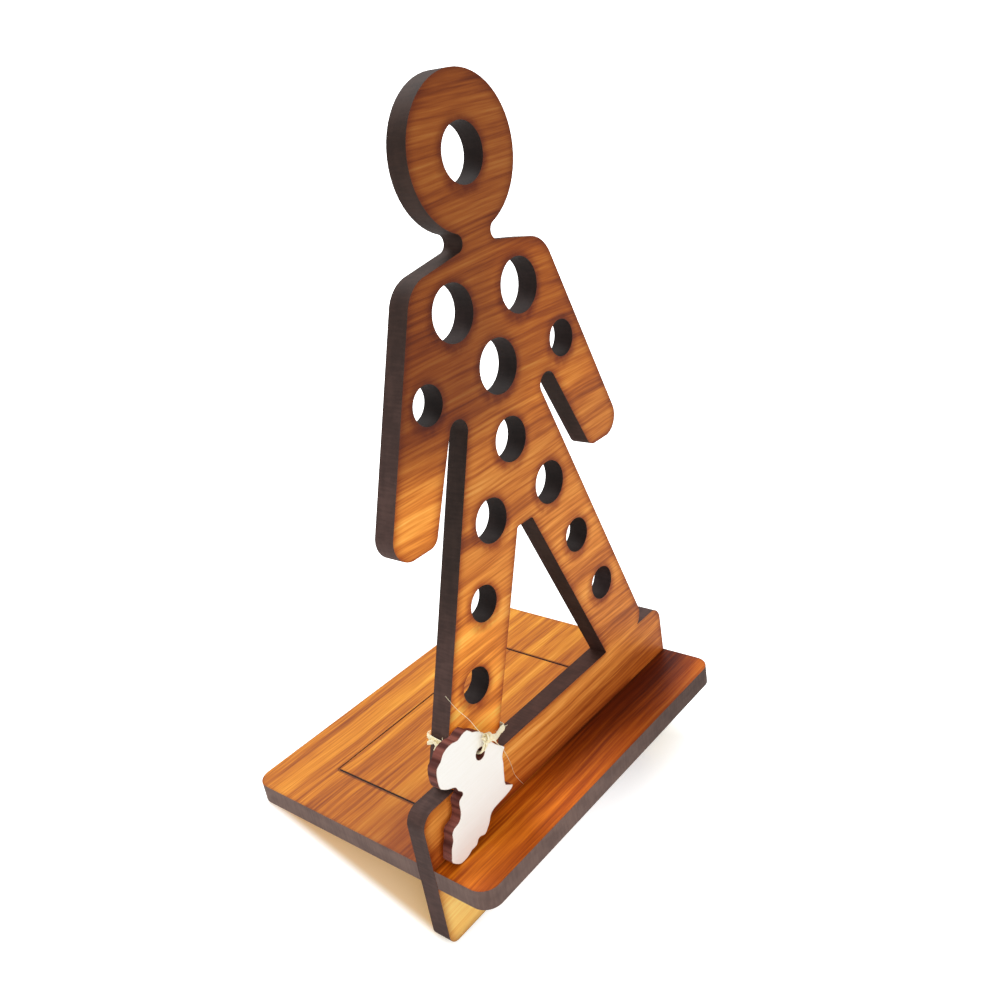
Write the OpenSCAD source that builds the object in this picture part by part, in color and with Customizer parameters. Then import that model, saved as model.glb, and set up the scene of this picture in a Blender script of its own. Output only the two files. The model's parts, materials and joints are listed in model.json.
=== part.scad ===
// Pen stand: a flat wooden figure, slotted upright into a sloping wooden base,
// with pen holes through its body and a small wooden tag tied round one leg.
//
// Every piece is first drawn in the joint's own frame: X along the base, Y from
// the front face of the figure to the rear, Z up the figure from the top of the
// base. The whole is then leant back until the rear edge of the base and the
// figure's two feet stand on the ground, which is Z = 0.

/* [Boards] */
// Thickness of the board that the figure and the base are cut from
board_t = 6; // [5:0.5:8]
// Clearance between the figure and the slots that it passes through
slot_gap = 0.1; // [0.05:0.05:0.3]

/* [Base] */
// Length of the base, and of the figure's beam that lies across it
base_w = 112; // [106:1:130]
// Depth of the strip in front of the figure
strip_d = 17.5; // [12:0.5:30]
// Depth of the board behind the figure
rear_d = 67; // [60:1:90]
// Radius of the base's corners
base_corner_r = 5; // [2:0.5:10]

/* [Engraved border] */
// Length of the rectangle
border_w = 74; // [50:1:80]
// Depth of the rectangle
border_d = 40; // [20:1:44]
// How far the rectangle's middle lies to the left of the base's middle
border_shift = 3; // [0:0.5:8]
// Distance from the rear edge of the base to the rectangle
border_margin = 19; // [8:0.5:22]
// Width of the engraved line
line_w = 0.6; // [0.4:0.1:1.5]
// Depth of the engraved line
line_depth = 0.3; // [0.2:0.1:1]

/* [Feet and beam] */
// Width of each foot, and depth of the notch in the base that it fills
foot_w = 20; // [12:0.5:26]
// How far the feet reach below the base
foot_drop = 20; // [12:0.5:30]
// Radius of the feet's outer corners
foot_r = 3; // [1:0.5:6]
// Height of the beam that rests on the base
beam_h = 16.3; // [12:0.1:20]
// Radius of the beam's upper corners
beam_r = 4.5; // [1:0.5:8]

/* [Legs] */
// Height of the crotch above the base
crotch_h = 72.2; // [60:0.2:76]
// Width of the opening between the legs at the crotch
crotch_w = 6.2; // [4:0.2:9]
// Radius of the opening's upper corners
crotch_r = 1; // [0.5:0.1:2]
// Slope of the legs' inner edges from upright, in degrees
leg_in_slope = 22.4; // [18:0.2:23]
// Slope of the legs' outer edges from upright, in degrees
leg_out_slope = 20.5; // [18:0.5:22]
// Depth that the rounded ends of the legs sink into the beam
leg_sink = 1; // [0.5:0.5:4]
// Radius of the legs' rounded outer ends
leg_end_r = 5; // [3:0.5:6]

/* [Arms] */
// Distance from the middle of the figure to the middle of each arm slot's top
slot_x = 17.8; // [16:0.1:20]
// Height of the top of the arm slots above the base
slot_top_h = 107.2; // [100:0.2:110]
// Radius of the arm slots' round tops
slot_r = 3.2; // [2.5:0.1:3.6]
// Slope of the arms' inner edges from upright, in degrees
arm_in_slope = 25; // [23:0.5:27]
// Slope of the arms' outer edges from upright, in degrees
arm_out_slope = 21.2; // [20:0.2:24]
// Height of the ends of the arms above the base
hand_h = 80.8; // [76:0.2:90]
// Radius of the hands' outer corners
hand_out_r = 5.5; // [2:0.5:6]
// Radius of the hands' inner corners
hand_in_r = 3.5; // [1:0.5:4]

/* [Shoulders and head] */
// Height of the foot of the neck above the base
shoulder_h = 143.9; // [141:0.1:150]
// Width across the shoulders, measured at their corners before rounding
shoulder_w = 49; // [46:0.5:54]
// Slope of the shoulders from level, in degrees
shoulder_slope = 10; // [0:1:14]
// Radius of the shoulders
shoulder_r = 9; // [4:0.5:10]
// Width of the neck at its narrowest
neck_w = 10.4; // [8:0.2:14]
// Radius of the hollows on both sides of the neck
neck_r = 2.2; // [1.5:0.1:4]
// Diameter of the head
head_d = 36; // [32:0.5:44]

/* [Pen holes] */
// Diameter of the large holes, in the head, the shoulders and the chest
large_hole_d = 14; // [12:0.1:15]
// Diameter of the middle holes, in the belly and the hips
middle_hole_d = 11.8; // [10:0.1:13]
// Diameter of the small holes, in the arms and the legs
small_hole_d = 9.8; // [8:0.1:11]
// Height of the shoulder holes
shoulder_hole_h = 131.4; // [128:0.2:133]
// Distance of the shoulder holes from the middle of the figure
shoulder_hole_x = 12.4; // [10:0.2:14]
// Height of the chest hole
chest_hole_h = 114.6; // [113:0.2:116]
// Height of the arm holes
arm_hole_h = 113.8; // [110:0.2:117]
// Distance of the arm holes from the middle of the figure
arm_hole_x = 26; // [25:0.2:27]
// Height of the belly hole
belly_hole_h = 95.4; // [92:0.2:98]
// Height of the hip holes
hip_hole_h = 78.2; // [75:0.2:81]
// Distance of the hip holes from the middle of the figure
hip_hole_x = 12.3; // [11:0.1:13]
// Height of the thigh holes
thigh_hole_h = 58.6; // [54:0.2:63]
// Distance of the thigh holes from the middle of the figure
thigh_hole_x = 20.4; // [19:0.1:21.5]
// Height of the shin holes
shin_hole_h = 39; // [34:0.2:44]
// Distance of the shin holes from the middle of the figure
shin_hole_x = 28.6; // [27.5:0.1:30]

/* [Tag] */
// Thickness of the tag
tag_t = 3; // [2:0.5:4]
// Height of the tag from its tip to its upper edge
tag_h = 33.8; // [28:0.2:36]
// Diameter of the tag's hole
tag_hole_d = 3.5; // [3:0.1:4]
// Distance of the tag's hole from the outer edge of the leg
tag_hole_in = 7.4; // [5:0.1:12]
// Clearance between the tag's tip and the strip that it stands on
tag_rest_gap = 0.2; // [0.2:0.1:1]

/* [Twine] */
// Diameter of the twine
twine_d = 1.3; // [0.8:0.1:1.5]
// Clearance between the twine and what it lies on
twine_gap = 0.25; // [0.2:0.05:0.4]
// Diameter of the knot
knot_d = 2.8; // [2:0.1:3.2]
// How far above the tag's hole the twine lies on the outer edge of the leg
twine_rise = 6.2; // [4:0.2:8]
// How far below the tag's hole the twine lies on the inner edge of the leg
twine_fall = 1.8; // [0:0.2:4]

/* [Hidden] */

base_color = [0.80, 0.46, 0.20];
figure_color = [0.71, 0.42, 0.21];
tag_color = [0.93, 0.90, 0.84];
twine_color = [0.88, 0.80, 0.62];

$fn = 96;
past = 1; // how far a cutting shape runs past what it cuts
proud = 0.02; // how far a sloping side's round stands out, so that it crosses the side

// The figure leans back by the angle at which its feet and the rear edge of the
// base meet the ground together.
lean = atan(foot_drop / rear_d);
feet_h = board_t + foot_drop;
rear_y = board_t + rear_d;
// Where the origin lies: on the ground, under the middle of the outer box.
box_front_y = -strip_d * cos(lean) - board_t * sin(lean);
box_rear_y = rear_y * cos(lean);
ground_shift = [0, -(box_front_y + box_rear_y) / 2, board_t * sin(lean) + feet_h * cos(lean)];

// Half the width of the base's neck, which the feet stand beside.
foot_in_x = base_w / 2 - foot_w;

// Arm slot: the centre of its round top, and where its sides leave that circle.
slot_c = [slot_x, slot_top_h - slot_r];
slot_body_side = slot_c + slot_r * [-cos(leg_out_slope), -sin(leg_out_slope)];
slot_arm_side = slot_c + slot_r * [cos(arm_in_slope), sin(arm_in_slope)];
function leg_out_x(z) = slot_body_side.x + (slot_body_side.y - z) * tan(leg_out_slope);
function leg_in_x(z) = crotch_w / 2 + (crotch_h - z) * tan(leg_in_slope);
function arm_in_x(z) = slot_arm_side.x + (slot_arm_side.y - z) * tan(arm_in_slope);

// Neck: a hollow on each side, tangent to the shoulder's slope and to the head.
neck_c = [neck_w / 2 + neck_r, shoulder_h + neck_r];
neck_foot = neck_c - neck_r * [sin(shoulder_slope), cos(shoulder_slope)];
head_r = head_d / 2;
head_c = [0, neck_c.y + sqrt(pow(head_r + neck_r, 2) - pow(neck_c.x, 2))];
neck_top = head_c + (neck_c - head_c) * head_r / (head_r + neck_r);

shoulder_corner = [shoulder_w / 2,
    neck_foot.y - (shoulder_w / 2 - neck_foot.x) * tan(shoulder_slope)];
function arm_out_x(z) = shoulder_corner.x + (shoulder_corner.y - z) * tan(arm_out_slope);
leg_end_z = beam_h - leg_sink;

// One side of the body, from the end of the leg up to the head. Each corner is
// [x, z, radius of its rounding]; the slot's and the neck's centres are points
// of the outline, and their circles are cut out afterwards.
body_side = [
    [leg_out_x(leg_end_z), leg_end_z, leg_end_r],
    [slot_body_side.x, slot_body_side.y, 0],
    [slot_c.x, slot_c.y, 0],
    [slot_arm_side.x, slot_arm_side.y, 0],
    [arm_in_x(hand_h), hand_h, hand_in_r],
    [arm_out_x(hand_h), hand_h, hand_out_r],
    [shoulder_corner.x, shoulder_corner.y, shoulder_r],
    [neck_foot.x, neck_foot.y, 0],
    [neck_c.x, neck_c.y, 0],
    [neck_top.x, neck_top.y, 0]
];

// Pen holes: [x, z, diameter].
pen_holes = [
    [0, head_c.y, large_hole_d],
    for (side = [-1, 1]) [side * shoulder_hole_x, shoulder_hole_h, large_hole_d],
    [0, chest_hole_h, large_hole_d],
    for (side = [-1, 1]) [side * arm_hole_x, arm_hole_h, small_hole_d],
    [0, belly_hole_h, middle_hole_d],
    for (side = [-1, 1]) [side * hip_hole_x, hip_hole_h, middle_hole_d],
    for (side = [-1, 1]) [side * thigh_hole_x, thigh_hole_h, small_hole_d],
    for (side = [-1, 1]) [side * shin_hole_x, shin_hole_h, small_hole_d]
];

// The tag's outline runs through these points, measured from the middle of its
// hole as shares of its height.
tag_points = [
    [-0.145, 0.268], [-0.195, 0.252], [-0.253, 0.268], [-0.32, 0.261], [-0.362, 0.238],
    [-0.393, 0.2], [-0.44, 0.173], [-0.456, 0.118], [-0.458, 0.046], [-0.444, -0.007],
    [-0.38, -0.055], [-0.339, -0.073], [-0.303, -0.096], [-0.289, -0.135], [-0.255, -0.17],
    [-0.255, -0.199], [-0.293, -0.216], [-0.308, -0.246], [-0.31, -0.315], [-0.328, -0.365],
    [-0.36, -0.39], [-0.409, -0.4], [-0.437, -0.435], [-0.442, -0.488], [-0.471, -0.537],
    [-0.489, -0.608], [-0.494, -0.655], [-0.43, -0.718], [-0.38, -0.728], [-0.326, -0.721],
    [-0.282, -0.702], [-0.226, -0.7], [-0.202, -0.667], [-0.169, -0.66], [-0.12, -0.678],
    [-0.084, -0.651], [-0.049, -0.612], [-0.023, -0.565], [0.02, -0.54], [0.091, -0.532],
    [0.176, -0.526], [0.246, -0.511], [0.266, -0.486], [0.194, -0.436], [0.194, -0.37],
    [0.204, -0.298], [0.214, -0.24], [0.216, -0.184], [0.238, -0.143], [0.258, -0.117],
    [0.192, -0.053], [0.143, 0.005], [0.116, 0.073], [0.064, 0.149], [0.007, 0.198],
    [-0.038, 0.222], [-0.085, 0.271]
];
tag_steps = 2; // short edges between two of its points
tag_outline = closed_curve(tag_h * tag_points, tag_steps);
tag_low = min([for (p = tag_outline) p.y]);

// The twine passes between the tag and the leg, so the tag hangs off the leg.
behind_tag = 2 * twine_gap + twine_d;
tag_front_y = -behind_tag - tag_t;
tag_hole_z = tag_rest_gap - tag_low;
tag_hole = [tag_hole_in - leg_out_x(tag_hole_z), tag_hole_z];

// The twine's route: once round the left leg and through the tag's hole. Its
// middle runs twine_out off what it lies on, and turns each corner of the leg
// a little nearer. What lies over the tag is placed from the tag's hole, in
// shares of the tag's height, and the rest from the leg's edges and faces.
twine_out = twine_d / 2 + twine_gap;
corner_out = 0.8 * twine_out;
front_y = tag_front_y - twine_out;
rear_face_y = board_t + twine_out;
outer_z = tag_hole.y + twine_rise;
inner_z = tag_hole.y - twine_fall;
outer_x = -leg_out_x(outer_z);
inner_x = -leg_in_x(inner_z);

function by_tag(right, up, y) = [tag_hole.x + right * tag_h, y, tag_hole.y + up * tag_h];
// A point on the way across the leg, from its inner edge (0) to its outer edge (1).
function across_leg(share, y) =
    [inner_x + share * (outer_x - inner_x), y, inner_z + share * (outer_z - inner_z)];
// A depth between the twine's front (0) and the leg's front face (1).
function toward_leg(share) = front_y + share * (-twine_out - front_y);

knot = by_tag(0.045, 0.115, tag_front_y - knot_d / 2 - twine_gap);
twine_route = [
    knot,
    by_tag(0.02, 0.06, toward_leg(-0.05)),
    by_tag(0, 0.022, toward_leg(-0.02)),
    by_tag(0, 0, tag_front_y + tag_t * 0.2),
    by_tag(0, 0, tag_front_y + tag_t * 0.8),
    by_tag(-0.02, 0.012, -twine_out),
    by_tag(-0.075, 0.09, -twine_out),
    across_leg(0.94, -twine_out),
    [outer_x - corner_out, -corner_out, outer_z],
    [outer_x - twine_out, board_t * 0.25, outer_z],
    [outer_x - twine_out, board_t * 0.75, outer_z],
    [outer_x - corner_out, board_t + corner_out, outer_z],
    across_leg(0.94, rear_face_y),
    across_leg(0.7, rear_face_y),
    across_leg(0.4, rear_face_y),
    across_leg(0.1, rear_face_y),
    [inner_x + corner_out, board_t + corner_out, inner_z],
    [inner_x + twine_out, board_t * 0.75, inner_z],
    [inner_x + twine_out, board_t * 0.25, inner_z],
    [inner_x + corner_out, -corner_out, inner_z],
    across_leg(0.12, toward_leg(0.75)),
    across_leg(0.24, toward_leg(0.36)),
    by_tag(0.19, 0.03, toward_leg(-0.04)),
    by_tag(0.11, 0.078, toward_leg(-0.13))
];
twine_steps = 2; // rings between two points of the route
twine_sides = 8;

function unit(v) = v / norm(v);

// The two tangent points and the centre of the round that replaces a corner.
function round_corner(before, corner, after, r) =
    let (to_before = unit(before - corner), to_after = unit(after - corner),
        half = acos(to_before * to_after) / 2)
    [
        corner + to_before * r / tan(half),
        corner + unit(to_before + to_after) * r / sin(half),
        corner + to_after * r / tan(half)
    ];

// A polygon whose corners are [x, y, radius], with true arcs at outer corners.
// Where the sides slope, each arc stands out by extra, to cross them clearly.
module rounded_polygon(corners, extra = 0) {
    count = len(corners);
    spots = [for (c = corners) [c.x, c.y]];
    rounds = [for (i = [0 : count - 1]) corners[i][2] > 0
        ? round_corner(spots[(i + count - 1) % count], spots[i], spots[(i + 1) % count], corners[i][2])
        : [spots[i]]];
    polygon([for (r = rounds) each r]);
    for (i = [0 : count - 1])
        if (corners[i][2] > 0)
            translate(rounds[i][1]) circle(r = corners[i][2] + extra);
}

// A point on the smooth curve from b to c, whose neighbours are a and d.
function curve_point(a, b, c, d, t) =
    0.5 * (2 * b + (c - a) * t + (2 * a - 5 * b + 4 * c - d) * pow(t, 2)
        + (3 * b - a - 3 * c + d) * pow(t, 3));

// A closed smooth curve through the points, with the given steps between two.
function closed_curve(points, steps) =
    let (count = len(points))
    [for (i = [0 : count - 1], s = [0 : steps - 1])
        curve_point(points[(i + count - 1) % count], points[i], points[(i + 1) % count],
            points[(i + 2) % count], s / steps)];

// Stands a flat outline upright as a board, with its front face at y.
module upright(y, thickness) {
    translate([0, y + thickness, 0])
        rotate([90, 0, 0])
            linear_extrude(thickness) children();
}

// Leans what is drawn in the joint's frame back onto the ground.
module stand() {
    translate(ground_shift) rotate([-lean, 0, 0]) children();
}

module base_outline() {
    half = base_w / 2;
    notch_x = foot_in_x - slot_gap;
    difference() {
        rounded_polygon([
            [-half, -strip_d, base_corner_r], [half, -strip_d, base_corner_r],
            [half, rear_y, base_corner_r], [-half, rear_y, base_corner_r]
        ]);
        for (side = [0, 1])
            mirror([side, 0])
                translate([notch_x, -slot_gap])
                    square([half - notch_x + past, board_t + 2 * slot_gap]);
    }
}

module border_outline() {
    translate([-border_shift - border_w / 2, rear_y - border_margin - border_d])
        difference() {
            square([border_w, border_d]);
            translate([line_w, line_w]) square([border_w - 2 * line_w, border_d - 2 * line_w]);
        }
}

// The sloping board, with a notch in each end and an engraved rectangle.
module base_plate() {
    color(base_color)
        stand()
            difference() {
                translate([0, 0, -board_t]) linear_extrude(board_t) base_outline();
                translate([0, 0, -line_depth]) linear_extrude(line_depth + past) border_outline();
            }
}

module body_outline() {
    other_side = [for (i = [len(body_side) - 1 : -1 : 0])
        [-body_side[i].x, body_side[i].y, body_side[i][2]]];
    difference() {
        rounded_polygon(concat(body_side, other_side), proud);
        for (side = [-1, 1]) {
            translate([side * slot_c.x, slot_c.y]) circle(r = slot_r + proud);
            translate([side * neck_c.x, neck_c.y]) circle(r = neck_r + proud);
        }
    }
}

module beam_outline() {
    half = base_w / 2;
    difference() {
        rounded_polygon([
            [-half, -feet_h, foot_r], [half, -feet_h, foot_r],
            [half, beam_h, beam_r], [-half, beam_h, beam_r]
        ]);
        translate([-foot_in_x, -feet_h - past]) square([2 * foot_in_x, feet_h + past]);
    }
}

module crotch_outline() {
    rounded_polygon([
        [-leg_in_x(beam_h), beam_h, 0], [leg_in_x(beam_h), beam_h, 0],
        [crotch_w / 2, crotch_h, crotch_r], [-crotch_w / 2, crotch_h, crotch_r]
    ], proud);
}

// The figure, cut from one board with its beam, its feet and its pen holes.
module figure_panel() {
    color(figure_color)
        stand()
            upright(0, board_t)
                difference() {
                    union() {
                        body_outline();
                        beam_outline();
                        translate(head_c) circle(r = head_r);
                    }
                    crotch_outline();
                    for (hole = pen_holes)
                        translate([hole.x, hole.y]) circle(d = hole[2]);
                }
}

// The swing tag, standing on its tip in front of the left leg.
module tag() {
    color(tag_color)
        stand()
            upright(tag_front_y, tag_t)
                translate(tag_hole)
                    difference() {
                        polygon(tag_outline);
                        circle(d = tag_hole_d);
                    }
}

// A closed tube of round section along a closed route.
module closed_tube(route, d, sides) {
    count = len(route);
    rings = [for (i = [0 : count - 1])
        let (along = unit(route[(i + 1) % count] - route[(i + count - 1) % count]),
            across = unit(cross(along, [0.3, 0.2, 1])),
            up = cross(across, along))
        for (s = [0 : sides - 1])
            route[i] + d / 2 * (cos(360 * s / sides) * across + sin(360 * s / sides) * up)];
    faces = [for (i = [0 : count - 1], s = [0 : sides - 1])
        let (a = i * sides + s, b = i * sides + (s + 1) % sides,
            c = ((i + 1) % count) * sides + (s + 1) % sides, e = ((i + 1) % count) * sides + s)
        each [[a, b, c], [a, c, e]]];
    polyhedron(rings, faces);
}

// The twine, tied in a small knot over the tag's upper edge.
module twine() {
    color(twine_color)
        stand() {
            closed_tube(closed_curve(twine_route, twine_steps), twine_d, twine_sides);
            translate(knot) sphere(d = knot_d, $fn = 24);
        }
}

base_plate();
figure_panel();
tag();
twine();
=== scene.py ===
# %% [markdown]
# # A wooden pen stand, dressed for its portrait
#
# The stand is two laser-cut boards: a figure with round pen holes, slotted
# upright into a sloping base. A small pale tag hangs on raffia round one leg.
# The exact solids come from the frame. This lesson gives them their wood, their
# charred cut edges and their raffia, and then sets up the studio.

# %% Load the frame
import json
import math
import random

import bmesh
import bpy
import numpy as np
from mathutils import Matrix, Vector


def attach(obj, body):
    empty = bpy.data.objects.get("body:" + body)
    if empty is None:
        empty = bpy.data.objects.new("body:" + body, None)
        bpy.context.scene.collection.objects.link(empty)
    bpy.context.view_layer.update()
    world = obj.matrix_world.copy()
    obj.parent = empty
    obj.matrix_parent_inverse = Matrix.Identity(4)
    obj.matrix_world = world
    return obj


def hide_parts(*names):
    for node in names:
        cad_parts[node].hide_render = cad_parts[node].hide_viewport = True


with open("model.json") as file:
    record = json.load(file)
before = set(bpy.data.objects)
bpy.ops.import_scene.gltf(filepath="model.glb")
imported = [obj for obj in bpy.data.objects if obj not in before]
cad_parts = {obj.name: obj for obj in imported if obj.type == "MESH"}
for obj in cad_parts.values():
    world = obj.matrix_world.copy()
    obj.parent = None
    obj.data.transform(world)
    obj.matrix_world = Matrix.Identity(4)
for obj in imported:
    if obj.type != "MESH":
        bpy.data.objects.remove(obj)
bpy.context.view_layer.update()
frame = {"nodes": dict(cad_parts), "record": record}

MM = 0.001               # one millimetre in the scene's metres

# %% [markdown]
# ## The joint's own directions
#
# The figure stands square to the base, and the pair leans back together until
# the rear edge of the base and the figure's feet touch the table. Grain, char
# and raffia all follow the boards, so every measure is easier in the joint's
# own frame: X along the base, Y through the figure to the rear, Z up the figure.
# The pen holes' places in the record give that frame without typing anything
# twice: their axis is the figure's, and the chest hole gives the corner.

# %% The joint's frame
CHEST_UP = 114.6         # the chest hole's height above the base's top, in millimetres
ALONG = Vector((1, 0, 0))

record = frame["record"]
mounts = {mount["name"]: mount for mount in record["mounts"]}
chest_hole = mounts["chest_hole"]
board_t = chest_hole["dims"]["length_mm"] * MM
board_back = -Vector(chest_hole["axis"]).normalized()
board_up = ALONG.cross(board_back)
joint_corner = Vector(chest_hole["pos_m"]) - board_back * board_t / 2 - board_up * (CHEST_UP * MM)


def at_joint(x, y, z):
    """A point given in millimetres in the joint's frame, as a place in the scene."""
    return joint_corner + MM * (x * ALONG + y * board_back + z * board_up)


def hole_place(mount):
    """A pen hole's middle, along the base and up the figure, and its radius, all in millimetres."""
    offset = Vector(mount["pos_m"]) - joint_corner
    return offset.x / MM, offset.dot(board_up) / MM, mount["dims"]["r_mm"]


pen_holes = [hole_place(mount) for mount in record["mounts"]]
print("the corner of the joint lies at", [round(value, 4) for value in joint_corner])
print("pen holes:", len(pen_holes))

# %% [markdown]
# ## The camera
#
# A portrait is matched from its viewpoint before anything else. The camera was
# found by measuring straight edges whose real directions are known, and it
# stands close, about 26 cm away, which gives the steep perspective. It looks
# down by 34 degrees and is rolled a little, as a camera held by hand is.

# %% Camera
SENSOR_WIDTH = 36                                      # millimetres, as on a full-frame camera
LENS = 36.97                                           # millimetres
CAMERA_PLACE = Vector((-0.18090, -0.12864, 0.24982))   # metres
CAMERA_TARGET = Vector((-0.00795, -0.00228, 0.10518))
CAMERA_ROLL = math.radians(4.46)

scene = bpy.context.scene
camera_data = bpy.data.cameras.new("portrait_camera")
camera_data.sensor_fit = "HORIZONTAL"
camera_data.sensor_width = SENSOR_WIDTH
camera_data.lens = LENS
camera_data.clip_start = 0.01
camera_data.clip_end = 50
camera = bpy.data.objects.new("portrait_camera", camera_data)
scene.collection.objects.link(camera)
aim = (CAMERA_TARGET - CAMERA_PLACE).to_track_quat("-Z", "Y")
camera.matrix_world = (
    Matrix.Translation(CAMERA_PLACE)
    @ aim.to_matrix().to_4x4()
    @ Matrix.Rotation(CAMERA_ROLL, 4, "Z")
)
scene.camera = camera
print("camera stands", round((CAMERA_TARGET - CAMERA_PLACE).length / MM), "mm from what it looks at")

# %% [markdown]
# ## Colours
#
# Blender computes with amounts of light, but a colour is easier to judge as a
# screen shows it. `tone` takes screen values from 0 to 255 and undoes the
# screen's own curve.

# %% Colours
def tone(red, green, blue):
    """A colour as a screen shows it, 0 to 255, turned into the light that it stands for."""
    def linear(value):
        share = value / 255
        return share / 12.92 if share <= 0.04045 else ((share + 0.055) / 1.055) ** 2.4
    return (linear(red), linear(green), linear(blue), 1.0)


def grey(level):
    """A neutral colour of the given light."""
    return (level, level, level, 1.0)


print("half of a screen's white stands for", round(tone(128, 128, 128)[0], 3), "of its light")

# %% [markdown]
# ## Writing finishes as sums
#
# A finish is a tree of shader nodes, and a tree is easier to read as a formula.
# `Signal` wraps one output socket, so that `1 - mask` or `streaks * 0.3` adds
# the Math node that it stands for.

# %% Signals
class Signal:
    """One output socket of a finish, which can stand in a Python sum."""

    def __init__(self, finish, socket):
        self.finish = finish
        self.socket = socket

    def math(self, operation, first, second=0.0):
        return self.finish.node("ShaderNodeMath", {"operation": operation}, {0: first, 1: second})

    def __add__(self, other):
        return self.math("ADD", self, other)

    def __sub__(self, other):
        return self.math("SUBTRACT", self, other)

    def __rsub__(self, other):
        return self.math("SUBTRACT", other, self)

    def __mul__(self, other):
        return self.math("MULTIPLY", self, other)

    def __pow__(self, other):
        return self.math("POWER", self, other)

    __radd__ = __add__
    __rmul__ = __mul__

    def size(self):
        return self.math("ABSOLUTE", self)

    def least(self, other):
        return self.math("MINIMUM", self, other)

    def most(self, other):
        return self.math("MAXIMUM", self, other)

    def step(self, start, end):
        """0 before start, 1 after end, and a smooth step between them."""
        return self.finish.node(
            "ShaderNodeMapRange",
            {"interpolation_type": "SMOOTHSTEP", "clamp": True},
            {"Value": self, "From Min": start, "From Max": end, "To Min": 0.0, "To Max": 1.0},
        )


own_methods = [name for name in vars(Signal) if not name.startswith("_")]
print("besides the operators, a signal knows", ", ".join(own_methods))

# %% [markdown]
# ## Adding any other node
#
# `Finish` holds a material's tree. Its `node` method adds a node of any kind:
# first the node's own settings, because they decide which sockets it has, and
# then the values or links of those sockets. The other methods are short names
# for the nodes that this stand needs often. Mixed colours are kept between 0
# and 1, since no surface gives back more light than it gets.

# %% Finishes
MIX_SHARE, MIX_FIRST, MIX_SECOND = 0, 6, 7     # the Mix node's sockets for colours, by number
MIX_RESULT = 2


class Finish:
    """A material's node tree, or the world's."""

    def __init__(self, owner, surface="Principled BSDF"):
        self.owner = owner
        owner.use_nodes = True
        self.tree = owner.node_tree
        self.surface = self.tree.nodes[surface]

    def node(self, kind, settings=None, sockets=None, output=0):
        """Adds a node of any kind: its settings first, then the values or links of its sockets."""
        made = self.tree.nodes.new(kind)
        for name, value in (settings or {}).items():
            if name == "stops":
                self.set_stops(made.color_ramp.elements, value)
            else:
                setattr(made, name, value)
        for name, value in (sockets or {}).items():
            self.feed(made.inputs[name], value)
        return Signal(self, made.outputs[output])

    def set_stops(self, elements, stops):
        """Gives a colour ramp its stops, each a place from 0 to 1 and a colour."""
        while len(elements) < len(stops):
            elements.new(0.5)
        for element, (place, colour) in zip(elements, stops):
            element.position = place
            element.color = colour

    def feed(self, socket, value):
        """Links a signal to a socket, or sets the socket's own value."""
        if isinstance(value, Signal):
            self.tree.links.new(value.socket, socket)
        else:
            socket.default_value = value

    def wear(self, sockets):
        """Feeds the surface's own sockets, by their names."""
        for name, value in sockets.items():
            self.feed(self.surface.inputs[name], value)

    def mix(self, share, first, second, blend="MIX"):
        """Mixes two colours by share."""
        return self.node(
            "ShaderNodeMix",
            {"data_type": "RGBA", "blend_type": blend, "clamp_result": True},
            {MIX_SHARE: share, MIX_FIRST: first, MIX_SECOND: second},
            output=MIX_RESULT,
        )

    def ramp(self, share, stops):
        """Picks a colour from a ramp by share."""
        return self.node("ShaderNodeValToRGB", {"stops": stops}, {"Fac": share})

    def noise(self, place, detail=2.0, roughness=0.5):
        """Soft noise, about 0.5 on average."""
        return self.node(
            "ShaderNodeTexNoise",
            {"noise_dimensions": "3D"},
            {"Vector": place, "Scale": 1.0, "Detail": detail, "Roughness": roughness},
        )

    def point(self, x, y, z):
        """A vector from three numbers or signals."""
        return self.node("ShaderNodeCombineXYZ", {}, {0: x, 1: y, 2: z})

    def vector_math(self, operation, first, second, output=0):
        return self.node("ShaderNodeVectorMath", {"operation": operation}, {0: first, 1: second}, output)

    def along(self, vector, direction):
        """How far a vector reaches along a direction."""
        return self.vector_math("DOT_PRODUCT", vector, tuple(direction), "Value")

    def coordinates(self, output):
        return self.node("ShaderNodeTexCoord", {}, {}, output)

    def bump(self, height, strength, distance):
        """A surface direction that leans as a relief of this height would make it."""
        return self.node(
            "ShaderNodeBump", {},
            {"Height": height, "Strength": strength, "Distance": distance})


print("the shader language is ready")

# %% [markdown]
# ## Where a point of wood lies
#
# Grain has to run through a board as it does in a plank, not be painted on each
# face. So the finish asks for a point's place in millimetres in the joint's
# frame. Object coordinates move with the piece, so the pattern stays put when
# the figure is lifted. The surface's own direction tells a cut wall from a face.

# %% Places
def joint_place(finish):
    """A point's place in millimetres: along the base, to the rear, and up the figure."""
    offset = finish.vector_math("SUBTRACT", finish.coordinates("Object"), tuple(joint_corner))
    millimetres = finish.vector_math("MULTIPLY", offset, (1 / MM, 1 / MM, 1 / MM))
    return (
        finish.along(millimetres, ALONG),
        finish.along(millimetres, board_back),
        finish.along(millimetres, board_up),
    )


def is_cut(finish, board_normal):
    """1 on the walls that the laser cut, 0 on the board's two faces."""
    facing = finish.along(finish.coordinates("Normal"), board_normal).size()
    return 1 - facing.step(0.6, 0.8)


print("the figure's face looks along", [round(value, 2) for value in -board_back])

# %% [markdown]
# ## How near the next edge is
#
# Two measures say where smoke has settled. Sharp edges are found with the Bevel
# node: it averages the surface's direction over a small ball, so where it
# differs from the surface's own direction, an edge is near. The pen holes are
# true circles, so the distance to the nearest rim is plain arithmetic.

# %% Edges and rims
EDGE_GAIN = 3.4          # at a square edge the two directions disagree by 0.29, and this makes it 1
EDGE_CURVE = 0.38        # below 1, so that the smoke fades slowly away from the edge
EDGE_SAMPLES = 8


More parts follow.
